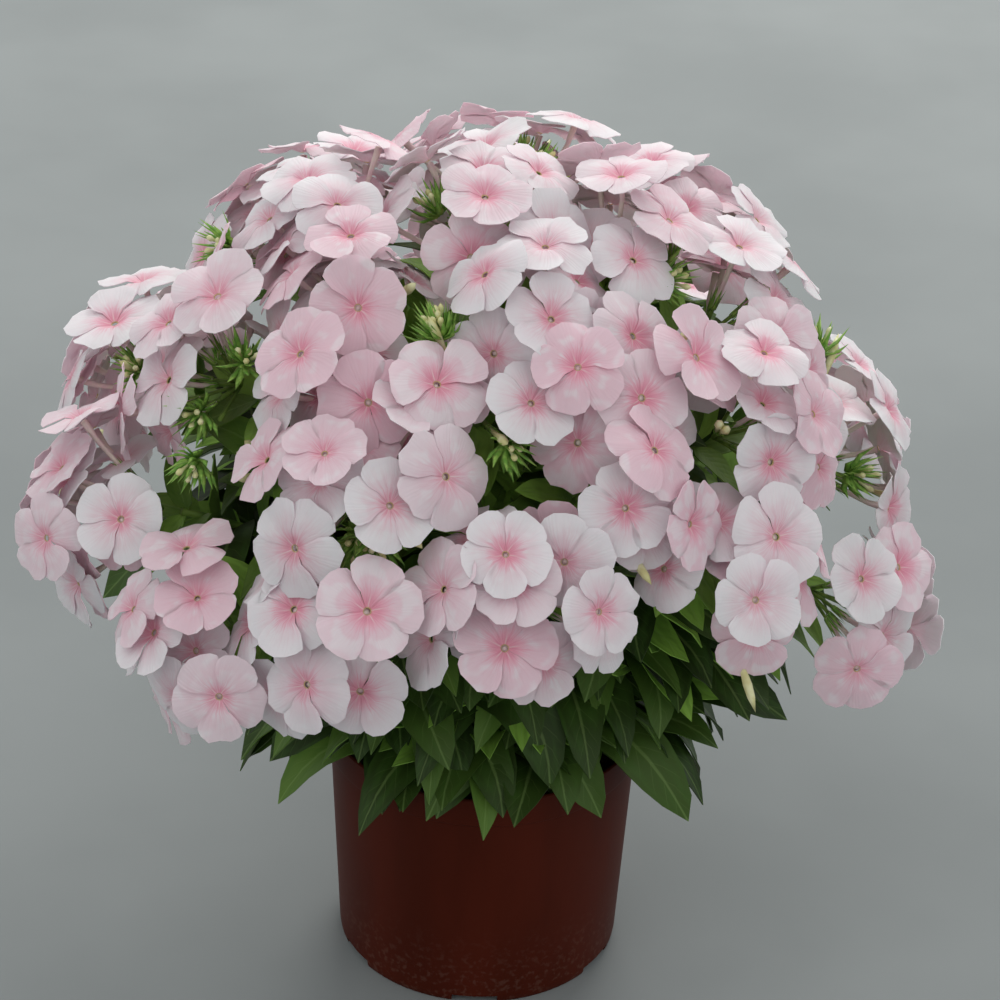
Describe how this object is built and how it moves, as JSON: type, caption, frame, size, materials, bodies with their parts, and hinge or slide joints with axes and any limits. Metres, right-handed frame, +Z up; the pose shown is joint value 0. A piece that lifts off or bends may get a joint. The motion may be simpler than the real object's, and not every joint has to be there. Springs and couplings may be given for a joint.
{
  "type": "potted phlox plant",
  "caption": "Dwarf garden phlox in full flower: a dome of pale pink florets in rounded heads over leafy stems, growing in a round nursery pot.",
  "frame": {"origin": "under the middle of the plant's spread, on the surface that the pot stands on", "axes": "+Z up along the pot's axis; -Y towards the side that the plant is seen from; +X to the right of that view"},
  "size_m": [0.3586, 0.349, 0.3746],
  "materials": {
    "pot": "moulded red-brown polypropylene, satin",
    "soil": "moist peat potting soil, matt",
    "leaf": "living stems and leaves, satin green",
    "petal": "living petals, soft and matt, pale pink"
  },
  "bodies": {
    "root": {"pot": "pot", "soil": "soil", "stem_01": "leaf", "stem_02": "leaf", "stem_03": "leaf", "stem_04": "leaf", "stem_05": "leaf", "stem_06": "leaf", "stem_07": "leaf", "stem_08": "leaf", "stem_09": "leaf", "stem_10": "leaf", "stem_11": "leaf", "stem_12": "leaf", "stem_13": "leaf", "stem_14": "leaf", "stem_15": "leaf", "stem_16": "leaf", "stem_17": "leaf", "stem_18": "leaf", "stem_19": "leaf", "stem_20": "leaf", "stem_21": "leaf", "stem_22": "leaf", "stem_23": "leaf", "stem_24": "leaf", "stem_25": "leaf", "stem_26": "leaf", "stem_27": "leaf", "stem_28": "leaf", "stem_29": "leaf", "head_01": "petal", "head_02": "petal", "head_03": "petal", "head_04": "petal", "head_05": "petal", "head_06": "petal", "head_07": "petal", "head_08": "petal", "head_09": "petal", "head_10": "petal", "head_11": "petal", "head_12": "petal", "head_13": "petal", "head_14": "petal", "head_15": "petal", "head_16": "petal", "head_17": "petal", "head_18": "petal", "head_19": "petal", "head_20": "petal", "head_21": "petal", "head_22": "petal", "head_23": "petal", "head_24": "petal", "head_25": "petal", "head_26": "petal", "head_27": "petal", "head_28": "petal", "head_29": "petal"}
  },
  "joints": []
}
